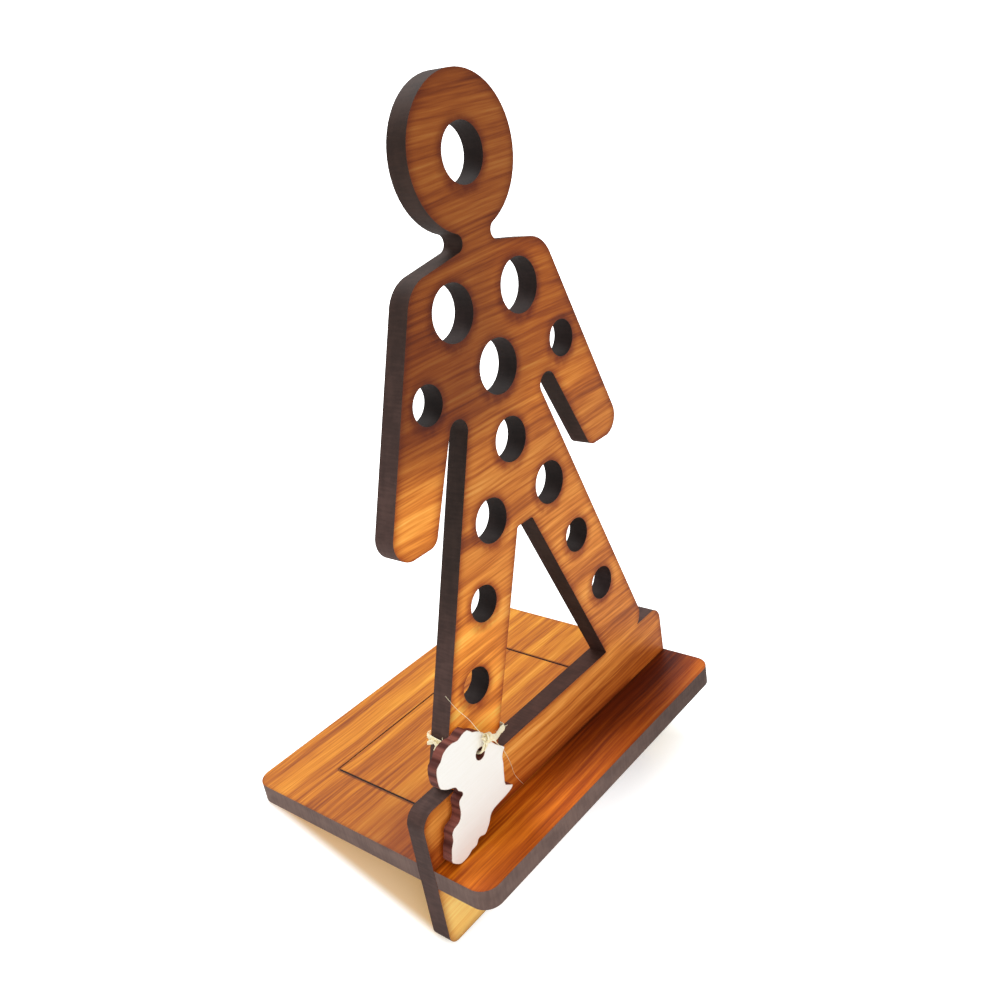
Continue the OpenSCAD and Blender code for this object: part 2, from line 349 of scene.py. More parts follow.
def near_edge(finish, reach):
    """Rises from 0 in the open to about 1 at a sharp edge, over the reach in millimetres."""
    softened = finish.node("ShaderNodeBevel", {"samples": EDGE_SAMPLES}, {"Radius": reach * MM})
    own = finish.node("ShaderNodeNewGeometry", {}, {}, "Normal")
    agreement = finish.vector_math("DOT_PRODUCT", softened, own, "Value")
    return ((1 - agreement).most(0.0) * EDGE_GAIN) ** EDGE_CURVE


def near_hole(finish, x, up, reach):
    """Rises from 0 in the open to 1 at the rim of the nearest pen hole."""
    here = finish.point(x, up, 0.0)
    gap = None
    for across, height, radius in pen_holes:
        to_rim = finish.vector_math("DISTANCE", here, (across, height, 0.0), "Value") - radius
        gap = to_rim if gap is None else gap.least(to_rim)
    return 1 - gap.step(0.0, reach)


print("rims to measure from:", len(pen_holes))

# %% [markdown]
# ## The colours of the wood
#
# Both boards are a warm orange-brown wood. A ramp's stops give its colours from
# the darkest streak to the palest. The grain's sum varies little about 0.5, so
# the stops lie close together. The feet, which stay below the base, get paler
# stops as painted light.

# %% Wood colours
FIGURE_STOPS = (
    (0.26, tone(146, 72, 26)),
    (0.40, tone(186, 102, 38)),
    (0.52, tone(216, 130, 52)),
    (0.64, tone(236, 156, 70)),
    (0.80, tone(252, 188, 100)),
)
LIT_FOOT_STOPS = (
    (0.26, tone(236, 176, 84)),
    (0.40, tone(246, 196, 104)),
    (0.52, tone(253, 214, 122)),
    (0.64, tone(255, 226, 138)),
    (0.80, tone(255, 238, 160)),
)
BASE_STOPS = (
    (0.26, tone(136, 66, 14)),
    (0.40, tone(174, 96, 22)),
    (0.52, tone(200, 121, 30)),
    (0.64, tone(218, 143, 42)),
    (0.80, tone(238, 175, 68)),
)
print("three woods with", len(BASE_STOPS), "stops each")

# %% [markdown]
# ## The grain
#
# The grain runs straight along the base: dark and light streaks a millimetre or
# two wide, broad darker bands, and fine fibres. Each is a noise that is squeezed
# along the grain, so that its spots become long. Before that, two slow noises
# push the whole pattern sideways, as a tree's rings wander.

# %% Grain
# Steps of noise per millimetre: along the grain and across it, and then through the board.
DRIFT = (0.012, 0.02)
WAVER = (0.05, 0.06)
BANDS = (0.008, 0.12, 0.1)
STREAKS = (0.012, 0.50, 0.4)
FIBRES = (0.06, 1.4, 1.4)
DRIFT_PUSH, WAVER_PUSH = 6.0, 1.0        # millimetres sideways
BAND_SHARE, STREAK_SHARE, FIBRE_SHARE = 0.68, 0.64, 0.52
MEAN_SHIFT = 0.42                        # brings the average of the sum back to 0.5


def grain(finish, along, across, through, seed):
    """Streaks, about 0.5 on average, that run along the plank."""
    def layer(sideways, steps, deep, **kind):
        return finish.noise(finish.point(along * steps[0], sideways * steps[1], deep), **kind)
    drift = layer(across, DRIFT, seed, detail=1.0)
    waver = layer(across, WAVER, seed + 3.0, detail=1.0)
    bent = across + (drift - 0.5) * DRIFT_PUSH + (waver - 0.5) * WAVER_PUSH
    bands = layer(bent, BANDS, through * BANDS[2] + seed, detail=1.5)
    streaks = layer(bent, STREAKS, through * STREAKS[2] + seed, detail=2.5, roughness=0.6)
    fibres = layer(bent, FIBRES, through * FIBRES[2] + seed, detail=2.0, roughness=0.6)
    return bands * BAND_SHARE + streaks * STREAK_SHARE + fibres * FIBRE_SHARE - MEAN_SHIFT


mean = (BAND_SHARE + STREAK_SHARE + FIBRE_SHARE) / 2 - MEAN_SHIFT
print("the grain's average is", round(mean, 2))

# %% [markdown]
# ## Char and smoke
#
# A laser burns as it cuts, so every cut wall is dark brown, and nearly even,
# with faint marks through the board where the beam pulsed. Inside the pen holes it
# is almost black, partly char and partly painted shade. Smoke also stains the
# faces beside each cut: a soft dark rim along every edge, and a wider reddish halo
# round the pen holes. A stain is a colour that the wood is multiplied by, so the
# grain still shows through it. A stain above 1 makes the wood paler in the same
# way. The same multiplying also paints shade and light on the boards further on.

# %% Char and smoke
MARKS = (1.3, 0.2)       # steps of noise per millimetre: over the wall, and through the board
SOOT = (0.12, 0.3)
MARK_SHARE, SOOT_SHARE = 0.4, 0.6
EDGE_STAIN = (0.46, 0.27, 0.20)
EDGE_BURN = tone(92, 46, 28)
BURN_SHARE = 0.4


def charred(finish, one, other, through, dark, light):
    """The colour of a laser-cut wall, with faint marks that run through the board."""
    def layer(over, deep):
        return finish.noise(finish.point(one * over, other * over, through * deep), detail=2.0)
    pattern = layer(*MARKS) * MARK_SHARE + layer(*SOOT) * SOOT_SHARE
    return finish.mix(pattern.step(0.34, 0.66), dark, light)


def stain_shade_or_light(finish, wood, share, stain):
    """Wood multiplied by a stain, or by painted shade or light, by share."""
    return finish.mix(share, wood, finish.mix(1.0, wood, (*stain, 1.0), "MULTIPLY"))


def stain_shade_and_light_zones(finish, wood, zones):
    """Multiplies one zone after another by its stain or painted shade or light: a zone is its share over
    the surface, and that multiplier.
    """
    for share, stain in zones:
        wood = stain_shade_or_light(finish, wood, share, stain)
    return wood


def edge_smoke(finish, wood, reach, strength):
    """A soft brown rim beside every cut, with a thin burnt line on the edge itself."""
    edge = near_edge(finish, reach)
    wood = stain_shade_or_light(finish, wood, edge.least(1.0) * strength, EDGE_STAIN)
    return finish.mix(edge.step(0.85, 1.05) * BURN_SHARE, wood, EDGE_BURN)


print("the burnt line covers", BURN_SHARE, "of the wood at an edge")

# %% [markdown]
# ## The figure's wood
#
# The figure's wood is darkened toward the head with painted shade. The chest is
# paler at the right than at the left, the left forearm and the left leg are paler
# still with painted light, and the beam is darkened with painted shade where it
# meets the base. Each zone is a product of smooth steps, whose limits are
# millimetres up or along the figure, and each has its multiplier. The feet, below
# the base, are bright with painted light and unstained, with a ramp of their own.

# %% The figure's wood
FIGURE_SEED = 3.0        # the place in the noise where this plank is cut

figure = Finish(bpy.data.materials.new("figure_wood"))
x, rear, up = joint_place(figure)
streaks = grain(figure, x, up, rear, FIGURE_SEED)
# Painted shade: the wood darkens from the hips up, most of all on the chest and head.
shade_above_hips = up.step(58, 92)
shade_on_chest_and_head = up.step(92, 114)
left_chest = up.step(96, 108) * (1 - up.step(124, 142)) * (1 - x.step(-16, 2))
right_chest = x.step(-4, 16) * up.step(92, 106) * (1 - up.step(140, 148))
# Painted light: the left forearm is lifted paler.
left_forearm_light = (1 - x.step(-33, -22)) * up.step(68, 74) * (1 - up.step(88, 108))
# Painted shade: the beam darkens where it meets the base.
beam_shade = (1 - up.step(0, 13)) * up.step(-7.5, -5.5)
# Painted light: the left leg is lifted paler.
left_leg_light = (1 - x.step(-24, -8)) * (1 - up.step(50, 76)) * up.step(12, 22)
figure_shade_light_and_tone_zones = (
    (shade_above_hips, (0.80, 0.76, 0.74)),
    (shade_on_chest_and_head, (0.50, 0.42, 0.40)),
    (left_chest, (0.74, 0.62, 0.54)),
    (right_chest, (1.36, 1.32, 1.06)),
    (left_forearm_light, (1.42, 1.44, 1.22)),
    (beam_shade, (0.70, 0.49, 0.38)),
    (left_leg_light, (1.28, 1.30, 1.02)),
)
wood = stain_shade_and_light_zones(figure, figure.ramp(streaks, FIGURE_STOPS), figure_shade_light_and_tone_zones)
# Painted light: below the base the feet take the pale ramp, which stands in for light falling on them.
lit_feet = 1 - up.step(-9, -6)
wood = figure.mix(lit_feet, wood, figure.ramp(streaks, LIT_FOOT_STOPS))
print("the figure's wood has", len(figure_shade_light_and_tone_zones), "zones")

# %% [markdown]
# ## Smoke on the figure
#
# The halos hang a little below and beside the pen holes, as smoke does that was
# drawn off to one side while the laser cut. A cloudy noise breaks them up. The
# smoked rims along the cuts come last, over everything.

# %% The figure's smoke
HALO_SHIFT_X, HALO_SHIFT_UP = 0.5, 0.8   # millimetres
HALO_REACH = 3.0
HALO_STAIN = (0.58, 0.40, 0.35)
CLOUD, CLOUD_SEED = 0.3, 7.0             # steps of noise per millimetre, and a place in the noise

cloud = figure.noise(figure.point(x * CLOUD, up * CLOUD, CLOUD_SEED), detail=2.0)
halo = near_hole(figure, x + HALO_SHIFT_X, up + HALO_SHIFT_UP, HALO_REACH) * cloud.step(0.2, 0.7)
wood = stain_shade_or_light(figure, wood, halo, HALO_STAIN)
wood = edge_smoke(figure, wood, reach=4.0, strength=0.85)
print("halos reach", HALO_REACH, "mm from the rims")

# %% [markdown]
# ## The figure's cut walls
#
# The walls are charred everywhere. Painted shade makes them darkest in the pen
# holes, in the slots between the limbs and round the head, and they keep a
# redder brown just above the beam. The grain also raises the faces a little, so
# that light catches its streaks.

# %% The figure's walls and surface
GRAIN_RELIEF = 0.15
GRAIN_DEPTH = 0.0002     # metres

between_limbs = 1 - x.size().step(26, 36)
above_beam = up.step(14, 30)
# Painted shade on the walls: darker inside the pen holes, high up, and in the slots between the limbs.
wall_shade_zones = (
    (near_hole(figure, x, up, 0.6), (0.45, 0.47, 0.52)),
    (up.step(90, 150), (0.48, 0.46, 0.40)),
    (between_limbs * above_beam * (1 - up.step(110, 125)), (0.46, 0.48, 0.44)),
    (between_limbs * (1 - above_beam), (0.74, 0.52, 0.42)),
)
wall = charred(figure, x, up, rear, tone(64, 47, 43), tone(82, 61, 56))
wall = stain_shade_and_light_zones(figure, wall, wall_shade_zones)
cut = is_cut(figure, board_back)
figure.wear({
    "Base Color": figure.mix(cut, wood, wall),
    "Roughness": 0.5 + cut * 0.2,
    "Normal": figure.bump(streaks, GRAIN_RELIEF, GRAIN_DEPTH),
    "Specular IOR Level": 0.12,
})
print("the figure wears", len(figure.tree.nodes), "nodes")

# %% [markdown]
# ## The base's wood
#
# The base is a lighter board of the same wood, and its grain runs the same way.
# The strip in front of the figure carries painted shade: it is lifted orange at
# its left end with painted light and darkens to the right. Beside the beam a dark
# red painted shadow lies on it, and its palest streaks take the least of that
# shadow. Behind the figure painted shade makes the wood a little darker near the
# beam, most of all at the left corner.

# %% The base's wood
BASE_SEED = 11.0

base = Finish(bpy.data.materials.new("base_wood"))
x, rear, up = joint_place(base)
streaks = grain(base, x, rear, up, BASE_SEED)
forward = rear * -1.0
on_strip = forward.step(-0.4, 0.4)
strip_left_light = on_strip * (1 - x.step(-30, 0))
strip_right_shade = on_strip * x.step(-25, 15) * (1 - x.step(44, 56) * 0.6)
strip_shadow_rightward = 0.25 + x.step(-50, -10) * 0.30 + x.step(-20, 40) * 0.45
# Painted shadow of the beam on the strip, deeper to the right and lighter on the pale streaks.
strip_shadow = on_strip * strip_shadow_rightward * (1 - forward.step(5, 17)) * (1.9 - streaks * 1.8).least(1.0)
beam_contact_shade = on_strip * (1 - forward.step(0.3, 1.6))
shade_behind_beam = (1 - on_strip) * (1 - rear.step(6, 52))
left_corner_shade = (1 - on_strip) * (1 - rear.step(16, 50)) * (1 - x.step(-50, -22))
# Painted light and shade on the base: the whole strip darkened and reddened, lifted at its left, darkened
# at its right, with a dark line at the joint; behind the figure, darker near the beam.
base_light_and_shade_zones = (
    (on_strip, (0.98, 0.66, 0.46)),
    (strip_left_light, (1.26, 1.28, 1.04)),
    (strip_right_shade, (0.56, 0.46, 0.44)),
    (strip_shadow, (0.34, 0.22, 0.17)),
    (beam_contact_shade, (0.5, 0.45, 0.42)),
    (shade_behind_beam, (0.76, 0.68, 0.66)),
    (left_corner_shade, (0.64, 0.50, 0.46)),
)
wood = stain_shade_and_light_zones(base, base.ramp(streaks, BASE_STOPS), base_light_and_shade_zones)
wood = edge_smoke(base, wood, reach=1.8, strength=0.4)
print("the base's wood has", len(base_light_and_shade_zones), "zones")

# %% [markdown]
# ## The engraved rectangle
#
# The rectangle is burnt into the top. Its groove is cut in the solid, and the
# groove's floor lies below the top, so depth alone tells where it is. A little
# smoke lies beside it: the distance to a rectangle's outline is the larger of
# the two distances to its sides. The far long side came out much fainter.

# %% The engraved rectangle
BORDER_X, BORDER_REAR = -3.0, 34.0      # middle of the rectangle, in millimetres
BORDER_W, BORDER_D = 74.0, 40.0         # its width and depth
FAINT = 0.85                            # how much of the far side's burn is missing

strong = 1 - rear.step(53.2, 53.6) * FAINT
past_side = (x - BORDER_X).size() - BORDER_W / 2
past_end = (rear - BORDER_REAR).size() - BORDER_D / 2
from_border = past_side.most(past_end).size()
border_smoke = (1 - from_border.step(0.3, 0.7)) * strong * 0.8
wood = stain_shade_or_light(base, wood, border_smoke, (0.34, 0.25, 0.20))
groove = (1 - up.step(-0.28, -0.06)) * up.step(-1.0, -0.5)
wood = base.mix(groove * strong, wood, tone(40, 26, 20))
print("the rectangle is", BORDER_W, "by", BORDER_D, "mm")

# %% [markdown]
# ## The base's cut walls
#
# The base's walls are painted paler and greyer than the figure's, as painted
# light, and painted shade darkens them to the right. The same helper chars them,
# between two lighter browns.

# %% The base's walls and surface
wall = charred(base, x, rear, up, tone(98, 78, 72), tone(116, 94, 86))
# Painted shade: the base's walls darken to the right.
wall = stain_shade_or_light(base, wall, x.step(-20, 45), (0.48, 0.44, 0.42))
cut = is_cut(base, board_up)
base.wear({
    "Base Color": base.mix(cut, wood, wall),
    "Roughness": 0.48 + cut * 0.2,
    "Normal": base.bump(streaks, GRAIN_RELIEF, GRAIN_DEPTH),
    "Specular IOR Level": 0.14,
})
print("the base wears", len(base.tree.nodes), "nodes")

# %% [markdown]
# ## The tag's finish
#
# The tag is thin board with a near-white face. Its cut wall is reddish brown
# and fluted, because the laser wobbled along the wavy outline. A Voronoi pattern
# in the tag's own plane gives flutes that run straight through the board.

# %% Tag
FACE_RUN, FACE_ACROSS, FACE_SEED = 0.12, 1.6, 2.0   # steps of noise per millimetre, and its start
FLUTES_PER_MM = 0.58
FLUTE_RELIEF = 0.7
FLUTE_DEPTH = 0.0008     # metres

tag = Finish(bpy.data.materials.new("tag_wood"))
x, rear, up = joint_place(tag)
fibres = tag.noise(tag.point(x * FACE_RUN, up * FACE_ACROSS, FACE_SEED), detail=3.0)
face = tag.mix(fibres, tone(255, 254, 250), tone(247, 244, 236))
flutes = 1 - tag.node(
    "ShaderNodeTexVoronoi",
    {"voronoi_dimensions": "2D", "feature": "SMOOTH_F1"},
    {"Vector": tag.point(x * FLUTES_PER_MM, up * FLUTES_PER_MM, 0.0), "Scale": 1.0, "Smoothness": 0.3},
)
wall = tag.mix(flutes.step(0.30, 0.80), tone(74, 32, 26), tone(122, 68, 58))
singed = near_edge(tag, 0.35).least(1.0) * 0.5
face = tag.mix(singed, face, tone(196, 150, 110))
cut = is_cut(tag, board_back)
tag.wear({
    "Base Color": tag.mix(cut, face, wall),
    "Roughness": 0.5 + cut * 0.15,
    "Normal": tag.bump(flutes * cut, FLUTE_RELIEF, FLUTE_DEPTH),
    "Specular IOR Level": 0.15,
})
print("the tag wears", len(tag.tree.nodes), "nodes")

# %% [markdown]
# ## Dressing the three boards
#
# The solids keep their own meshes, which are exact. Each only swaps its plain
# material for the finish made for it.

# %% Dress the boards
for node, finish in (("base_plate", base), ("figure_panel", figure), ("tag", tag)):
    frame["nodes"][node].data.materials.clear()
    frame["nodes"][node].data.materials.append(finish.owner)
    print(node, "wears", finish.owner.name)

# %% [markdown]
# ## A smooth path through a few points
#
# The tag is tied on with raffia, a pale ribbon of palm leaf, not with round
# string. The solid under it is a plain tube along the same route. A ribbon is
# swept by hand here. Each row of its table gives a point of the route, the
# direction of the ribbon's width there, and the width itself. A Catmull-Rom
# curve passes smoothly through every column of the table at once.

# %% Smooth rows
def smooth_rows(rows, steps, closed):
    """A smooth run of rows through the given ones, for every column at once."""
    table = np.array(rows, dtype=float)
    count = len(table)
    spans = count if closed else count - 1
    out = []
    for index in range(spans):
        if closed:
            a, b, c, d = (table[(index + k) % count] for k in (-1, 0, 1, 2))
        else:
            a, b, c, d = (table[min(max(index + k, 0), count - 1)] for k in (-1, 0, 1, 2))
        for step in range(steps):
            t = step / steps
            out.append(0.5 * (2 * b + (c - a) * t + (2 * a - 5 * b + 4 * c - d) * t**2
                              + (3 * b - a - 3 * c + d) * t**3))
    if not closed:
        out.append(table[-1])
    return np.array(out)


print("three points give", len(smooth_rows([[0], [1], [2]], 4, False)), "rows at 4 steps each")

# %% [markdown]
# ## The swept ribbon
#
# The ribbon's section is a flat oval with three creases, as a dried leaf curls.
# At every row it is set square to the path, with its width in the row's own
# direction, so that the ribbon can lie flat on the leg and turn on edge into the
# tag's hole.

# %% Sweep a ribbon
SIDES = 10
MEAN_THICK = 0.75        # shares of the ribbon's thickness
CREASE = 0.25
CREASES = 3

section = []
for side in range(SIDES):
    angle = 2 * math.pi * side / SIDES
    crease = CREASE * math.cos(angle * CREASES)
    section.append((math.cos(angle), math.sin(angle) * (MEAN_THICK + crease)))


def sweep_ribbon(bm, rows, thickness, steps=4, closed=False):
    """Sweeps the section along rows of x, y, z, width direction and width, in millimetres."""
    path = smooth_rows(rows, steps, closed)
    count = len(path)
    rings = []
    for index, row in enumerate(path):
        before = path[index - 1] if closed or index else row
        after = path[(index + 1) % count] if closed or index < count - 1 else row
        run = Vector(after[:3] - before[:3]).normalized()
        width_way = Vector(row[3:6])
        width_way = (width_way - run * width_way.dot(run)).normalized()
        face_way = run.cross(width_way)
        ring = []
        for wide, thick in section:
            place = (Vector(row[:3]) + width_way * wide * row[6] / 2
                     + face_way * thick * thickness / 2)
            ring.append(bm.verts.new(at_joint(*place)))
        rings.append(ring)
    for index in range(count if closed else count - 1):
        here, there = rings[index], rings[(index + 1) % count]
        for side in range(SIDES):
            other = (side + 1) % SIDES
            bm.faces.new((here[side], here[other], there[other], there[side]))
    if not closed:
        bm.faces.new(rings[0][::-1])
        bm.faces.new(rings[-1])


print("a ribbon has", SIDES, "sides")

# %% [markdown]
# ## The raffia's route
#
# The raffia comes down from the knot into the tag's hole, passes behind the tag,
# turns round the leg's outer edge, crosses the leg's back, turns round its inner
# edge and rises in front of the tag to the knot again. A second, narrower strand
# runs with the first and wavers, because the ribbon has split.

# %% The raffia's route
UP = (0, 0, 1)
SIDE = (1, 0, 0)
TAG_HOLE_X, TAG_HOLE_UP = -36.59, 24.81

loop = [
    (-34.4, -6.1, 28.6, *UP, 1.7),
    (-35.5, -6.0, 27.2, 0.8, 0, 0.5, 1.6),
    (TAG_HOLE_X + 0.2, -5.6, TAG_HOLE_UP + 0.9, *SIDE, 1.4),
    (TAG_HOLE_X, -4.2, TAG_HOLE_UP + 0.2, *SIDE, 1.3),
    (TAG_HOLE_X, -2.4, TAG_HOLE_UP, *SIDE, 1.3),
    (-37.3, -0.8, 25.2, 0.8, 0, 0.6, 1.6),
    (-39.2, -0.7, 27.2, 0.5, 0, 0.8, 1.8),
    (-41.2, -0.7, 28.9, *UP, 2.0),
    (-42.6, -0.6, 29.4, *UP, 2.3),
    (-42.9, 1.5, 29.6, *UP, 2.6),
    (-42.8, 4.5, 30.0, *UP, 2.4),
    (-42.4, 6.6, 30.3, *UP, 2.2),
    (-40.6, 6.7, 30.0, *UP, 2.0),
    (-36.2, 6.7, 28.6, *UP, 2.0),
    (-30.7, 6.7, 26.2, *UP, 1.9),
    (-25.2, 6.7, 23.8, *UP, 1.9),
    (-22.9, 6.5, 22.9, *UP, 1.9),
    (-22.6, 4.5, 22.7, *UP, 1.9),
    (-22.5, 1.5, 22.5, *UP, 2.0),
    (-22.6, -0.7, 22.4, *UP, 2.0),
    (-25.4, -2.0, 23.4, *UP, 2.0),
    (-27.8, -3.4, 24.4, *UP, 1.9),
    (-30.2, -4.9, 25.7, *UP, 1.8),
    (-32.4, -5.8, 27.3, *UP, 1.7),
]
OVER_RISE, OVER_TWIST, OVER_WIDTH = 0.30, 0.25, 0.5
over = []
for index, (px, py, pz, ax, ay, az, width) in enumerate(loop):
    rise = OVER_RISE * math.sin(index * 1.3)
    twist = OVER_TWIST * math.cos(index * 0.9)
    over.append((px, py, pz + rise, ax, ay, az + twist, width * OVER_WIDTH))
print("the loop runs through", len(loop), "points")

# %% [markdown]
# ## The knot
#
# The knot is three short turns of the same ribbon, wound across the band where
# it comes over the tag's edge. Each turn is a circle about the band's own
# direction, tilted a little so that the turns cross instead of lying like rings.

# %% The knot's turns
# Each turn's place along the band, its tilt and its radius, in millimetres.
KNOT_TURNS = ((-0.75, 0.5, 0.95), (0.0, -0.45, 1.15), (0.7, 0.3, 1.0))
TURN_POINTS = 8
TURN_HEIGHT, TURN_DEPTH = 1.15, 0.8      # shares of the radius
TURN_WIDTH = 0.85                        # the ribbon's width in the knot

knot_middle = Vector((-34.3, -6.1, 28.6))
band_way = Vector((-0.84, -0.1, 0.54)).normalized()
knot_up = band_way.cross(Vector((0, -1, 0))).normalized()
knot_out = band_way.cross(knot_up)
turns = []
for place, tilt, radius in KNOT_TURNS:
    turn_rows = []
    for index in range(TURN_POINTS):
        angle = 2 * math.pi * index / TURN_POINTS
        spot = (knot_middle + band_way * (place + tilt * math.cos(angle))
                + knot_up * radius * TURN_HEIGHT * math.cos(angle)
                + knot_out * radius * TURN_DEPTH * math.sin(angle))
        turn_rows.append((*spot, *band_way, TURN_WIDTH))
    turns.append(turn_rows)
print("the knot has", len(turns), "turns")

# %% [markdown]
# ## The tuft and the loose ends
#
# Where the ribbon turns round the leg's outer edge its fibres have split and
# stand out in a tuft of five short ribbons. Three loose ends leave the knot: one
# hangs into the hole, and two stand off to the sides. All narrow to their tips.

# %% Tuft and ends
tuft = [
    [
        (-41.8, -1.1, 29.9, *UP, 1.8),
        (-43.2, 0.8, 29.3, *UP, 2.3),
        (-43.7, 2.8, 28.4, *UP, 1.7),
        (-43.4, 4.4, 27.2, *UP, 0.5),
    ],
    [
        (-42.0, -0.9, 28.5, *UP, 1.5),
        (-43.4, 0.9, 29.0, *UP, 1.9),
        (-43.9, 2.5, 29.9, *UP, 1.4),
        (-43.7, 4.0, 31.0, *UP, 0.4),
    ],
    [
        (-42.7, 0.2, 30.4, *UP, 1.1),
        (-43.9, 1.4, 29.2, *UP, 1.5),
        (-44.1, 2.4, 27.8, *UP, 1.1),
        (-43.7, 2.9, 26.4, *UP, 0.3),
    ],
    [
        (-42.4, -0.7, 28.1, *UP, 1.1),
        (-43.9, 0.6, 28.1, *UP, 1.3),
        (-44.6, 1.8, 27.5, *UP, 0.9),
        (-45.1, 2.8, 26.6, *UP, 0.2),
    ],
    [
        (-42.9, 3.0, 30.4, *UP, 1.2),
        (-43.7, 4.6, 29.9, *UP, 1.3),
        (-43.5, 6.0, 29.0, *UP, 0.9),
        (-42.9, 7.0, 27.8, *UP, 0.2),
    ],
]
ends = [
    [
        (-35.0, -6.6, 28.2, *SIDE, 0.9),
        (-35.5, -6.5, 27.0, *SIDE, 0.8),
        (-35.8, -6.0, 25.9, *SIDE, 0.5),
        (-36.1, -5.2, 25.2, *SIDE, 0.3),
    ],
    [
        (-35.4, -6.6, 29.2, *UP, 0.9),
        (-36.3, -6.9, 30.0, *UP, 0.6),
        (-37.0, -6.6, 30.4, *UP, 0.2),
    ],
    [
        (-33.5, -6.4, 27.8, *UP, 0.8),
        (-32.4, -6.7, 26.6, *UP, 0.5),
        (-31.7, -6.2, 25.2, *UP, 0.2),
    ],
]
print("the tuft has", len(tuft), "ribbons, and the knot", len(ends), "ends")

# %% [markdown]
# ## Hairs
#
# Two hairs as thin as a bristle stick out far, one up along the leg and one down
# over the beam, and a short one rises from the tuft. The upper one stays in
# front of the tag, so that the tag can swing behind it. The fuzz is shorter and
# scattered along the route. It comes from a seeded random stream, so it is the
# same at every run.

# %% Hairs and fuzz
FUZZ_SEED = 12
FUZZ_SHORTEST, FUZZ_LONGEST = 1.0, 2.2   # millimetres
FUZZ_FORWARD = 0.3                       # how far a bit of fuzz leans to the front
FUZZ_BEND = (0.5, 0.6)                   # where its middle lies, along and up
HAIR_ROOT, HAIR_TAPER = 0.17, 0.10       # width at the root, and how much of it the tip has lost

hairs = [
    [
        (-34.6, -6.2, 29.2),
        (-36.3, -5.7, 31.8),
        (-38.5, -5.4, 36.7),
        (-41.7, -5.3, 42.0),
        (-44.3, -5.3, 47.4),
    ],
    [
        (-33.6, -6.4, 28.2),
        (-29.8, -6.0, 22.0),
        (-25.6, -3.6, 13.4),
        (-22.6, -1.3, 6.5),
        (-19.6, -0.8, 1.0),
    ],
    [
        (-43.0, 0.4, 30.2),
        (-44.2, -0.6, 31.8),
        (-44.8, -1.4, 34.2),
    ],
]
away_from_hole = loop[5:15] + loop[17:]
draw = random.Random(FUZZ_SEED)
for px, py, pz, *_ in away_from_hole:
    way = Vector([draw.uniform(-1, 1) for _ in range(3)]).normalized()
    way = way * draw.uniform(FUZZ_SHORTEST, FUZZ_LONGEST)
    front = py - abs(way.y) * FUZZ_FORWARD
    middle = (px + way.x * FUZZ_BEND[0], front, pz + way.z * FUZZ_BEND[1])
    hairs.append([(px, py, pz), middle, (px + way.x, front, pz + way.z)])


def hair_rows(path):
    """A hair's rows: as wide as a bristle at its root, and thinner toward its tip."""
    last = len(path) - 1
    return [(*spot, 0.3, 0, 1.0, HAIR_ROOT - HAIR_TAPER * index / last) for index, spot in enumerate(path)]


print("hairs:", len(hairs))

# %% [markdown]
# ## One mesh of raffia
#
# All ribbons go into one mesh, which takes the place of the plain tube and rides
# on the figure, because the raffia stays on the leg while the tag swings.

# %% Sweep the raffia
LOOP_THICK, OVER_THICK, TURN_THICK, TUFT_THICK, HAIR_THICK = 0.55, 0.75, 0.4, 0.3, 0.14

raffia_bm = bmesh.new()
sweep_ribbon(raffia_bm, loop, LOOP_THICK, closed=True)
sweep_ribbon(raffia_bm, over, OVER_THICK, closed=True)
for rows in turns:
    sweep_ribbon(raffia_bm, rows, TURN_THICK, closed=True)
for rows in tuft + ends:
    sweep_ribbon(raffia_bm, rows, TUFT_THICK)
for path in hairs:
    sweep_ribbon(raffia_bm, hair_rows(path), HAIR_THICK)
raffia_mesh = bpy.data.meshes.new("raffia_tie")
raffia_bm.normal_update()
raffia_bm.to_mesh(raffia_mesh)
raffia_bm.free()
for polygon in raffia_mesh.polygons:
    polygon.use_smooth = True
raffia = bpy.data.objects.new("raffia_tie", raffia_mesh)
scene.collection.objects.link(raffia)
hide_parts("twine")
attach(raffia, "figure")
print("the raffia has", len(raffia_mesh.polygons), "faces")

# %% [markdown]
# ## The raffia's finish
#
# Dried raffia is a pale straw colour with fine veins along the ribbon. One noise
# gives the veins their colour and their relief.

# %% The raffia's finish
VEIN_RUN, VEIN_ACROSS, VEIN_DEEP = 1.6, 6.0, 0.8    # steps of noise per millimetre

straw = Finish(bpy.data.materials.new("twine_fibre"))
x, rear, up = joint_place(straw)
vein_place = straw.point(x * VEIN_RUN + rear * VEIN_RUN, up * VEIN_ACROSS, rear * VEIN_DEEP)
veins = straw.noise(vein_place, detail=2.0)
straw.wear({
    "Base Color": straw.mix(veins.step(0.3, 0.7), tone(246, 226, 176), tone(255, 252, 226)),
    "Roughness": 0.62,
    "Normal": straw.bump(veins, 0.4, 0.0001),
    "Specular IOR Level": 0.3,
})
raffia_mesh.materials.append(straw.owner)
print("the raffia wears", len(straw.tree.nodes), "nodes")

# %% [markdown]
# ## The studio floor
#
# The floor is one wide pale disc. It lies a hair below the stand, so that the
# two surfaces don't flicker where they meet.

# %% Floor
FLOOR_RADIUS = 6.0       # metres
FLOOR_DROP = 0.0002

floor_mesh = bpy.data.meshes.new("studio_floor")
floor_bm = bmesh.new()
bmesh.ops.create_circle(floor_bm, cap_ends=True, segments=64, radius=FLOOR_RADIUS)
floor_bm.to_mesh(floor_mesh)
floor_bm.free()
floor = bpy.data.objects.new("studio_floor", floor_mesh)
floor.location.z = -FLOOR_DROP
scene.collection.objects.link(floor)
print("the floor is", round(2 * FLOOR_RADIUS), "m across")

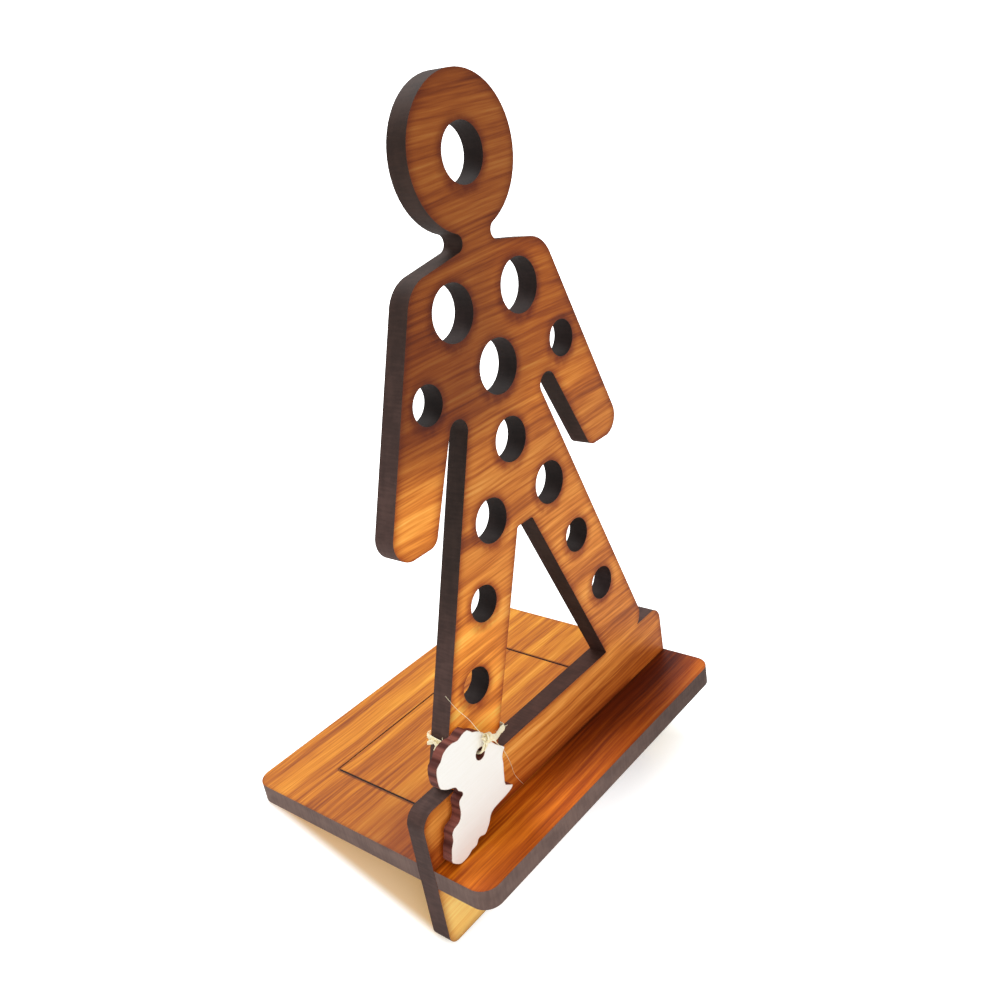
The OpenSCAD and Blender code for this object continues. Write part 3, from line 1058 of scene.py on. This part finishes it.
# %% [markdown]
# ## The floor's paint
#
# A portrait's ground should come out white and still hold the shadow under the
# base. More light would wash out the wood, so the floor glows instead, and only
# in rays that come from the camera or through a reflection: that light never
# reaches the stand. The glow is full far away and weaker near the stand, most of
# all to its right, where the shadow is. Under the base it is as warm as the
# light that the wood throws down there.

# %% The floor's paint
HALF_WIDTH, HALF_DEPTH = 0.056, 0.044    # the stand's, in metres


def seen_ray(finish):
    """1 for rays from the camera, a reflection or clear glass, and 0 for those that light things."""
    seen = finish.node("ShaderNodeLightPath", {}, {}, "Is Camera Ray")
    for kind in ("Is Glossy Ray", "Is Transmission Ray"):
        seen = seen.most(finish.node("ShaderNodeLightPath", {}, {}, kind))
    return seen


paint = Finish(bpy.data.materials.new("studio_white"))
floor_place = paint.coordinates("Object")
floor_x = paint.along(floor_place, ALONG)
floor_y = paint.along(floor_place, (0, 1, 0))
beyond = (floor_x.size() - HALF_WIDTH).most(floor_y.size() - HALF_DEPTH)
to_right = floor_x.step(-0.010, 0.045)
beside = paint.mix(to_right, (0.62, 0.67, 0.69, 1.0), (0.26, 0.28, 0.29, 1.0))
around = paint.mix(to_right, (0.80, 0.83, 0.84, 1.0), (0.74, 0.77, 0.78, 1.0))
glow = paint.mix(beyond.step(-0.010, 0.012), beside, around)
glow = paint.mix(beyond.step(0.005, 0.10), glow, grey(1.0))
# Painted warm shade and bounce light: under the base the floor's colour and glow turn tan.
warm_bounce_patch = (1 - floor_x.size().step(0.0530, 0.0572)) * floor_y.step(-0.036, -0.026)
warm_bounce_patch = warm_bounce_patch * (1 - floor_y.step(0.038, 0.044))
glow = paint.mix(warm_bounce_patch, glow, tone(140, 118, 72))
paint.wear({
    "Base Color": paint.mix(warm_bounce_patch, tone(244, 244, 242), tone(234, 210, 184)),
    "Roughness": 0.9,
    "Emission Color": paint.mix(seen_ray(paint), grey(0.0), glow),
    "Emission Strength": 1.0,
    "Specular IOR Level": 0.1,
})
floor_mesh.materials.append(paint.owner)
print("the floor wears", len(paint.tree.nodes), "nodes")

# %% [markdown]
# ## The air
#
# The world fills the shadows from all sides. A camera's ray that misses
# everything sees plain white, and so does a reflection.

# %% World
FILL = 0.66              # the light from all sides, where 1 is white

world = bpy.data.worlds.new("studio_air")
scene.world = world
air = Finish(world, "Background")
air.wear({"Color": air.mix(seen_ray(air), grey(FILL), grey(1.0)), "Strength": 1.0})
print("the air gives", FILL, "from all sides")

# %% [markdown]
# ## Lamps
#
# A large soft lamp stands behind and above the stand, as a window does: the
# base's slope is bright, the figure's face is in open shade, and the beam throws
# its shadow forward onto the strip. A weaker, wider lamp in front lifts the tag.
# Together with the air they light a surface at about the level at which a colour
# renders as it is written.

# %% Lamps
def lamp(name, place, target, size, watts):
    """A round area lamp that points at a target."""
    data = bpy.data.lights.new(name, "AREA")
    data.shape = "DISK"
    data.size = size
    data.energy = watts
    made = bpy.data.objects.new(name, data)
    scene.collection.objects.link(made)
    made.location = place
    way = Vector(target) - Vector(place)
    made.rotation_euler = way.to_track_quat("-Z", "Y").to_euler()
    print(name, "gives", watts, "W from", round(way.length, 2), "m")


lamp("window", place=(0.15, 0.72, 0.72), target=(0, 0, 0.05), size=0.45, watts=6.5)
lamp("front", place=(-0.45, -0.9, 0.95), target=(0, 0, 0.08), size=0.9, watts=5.5)
scene.view_settings.view_transform = "Standard"

# %% [markdown]
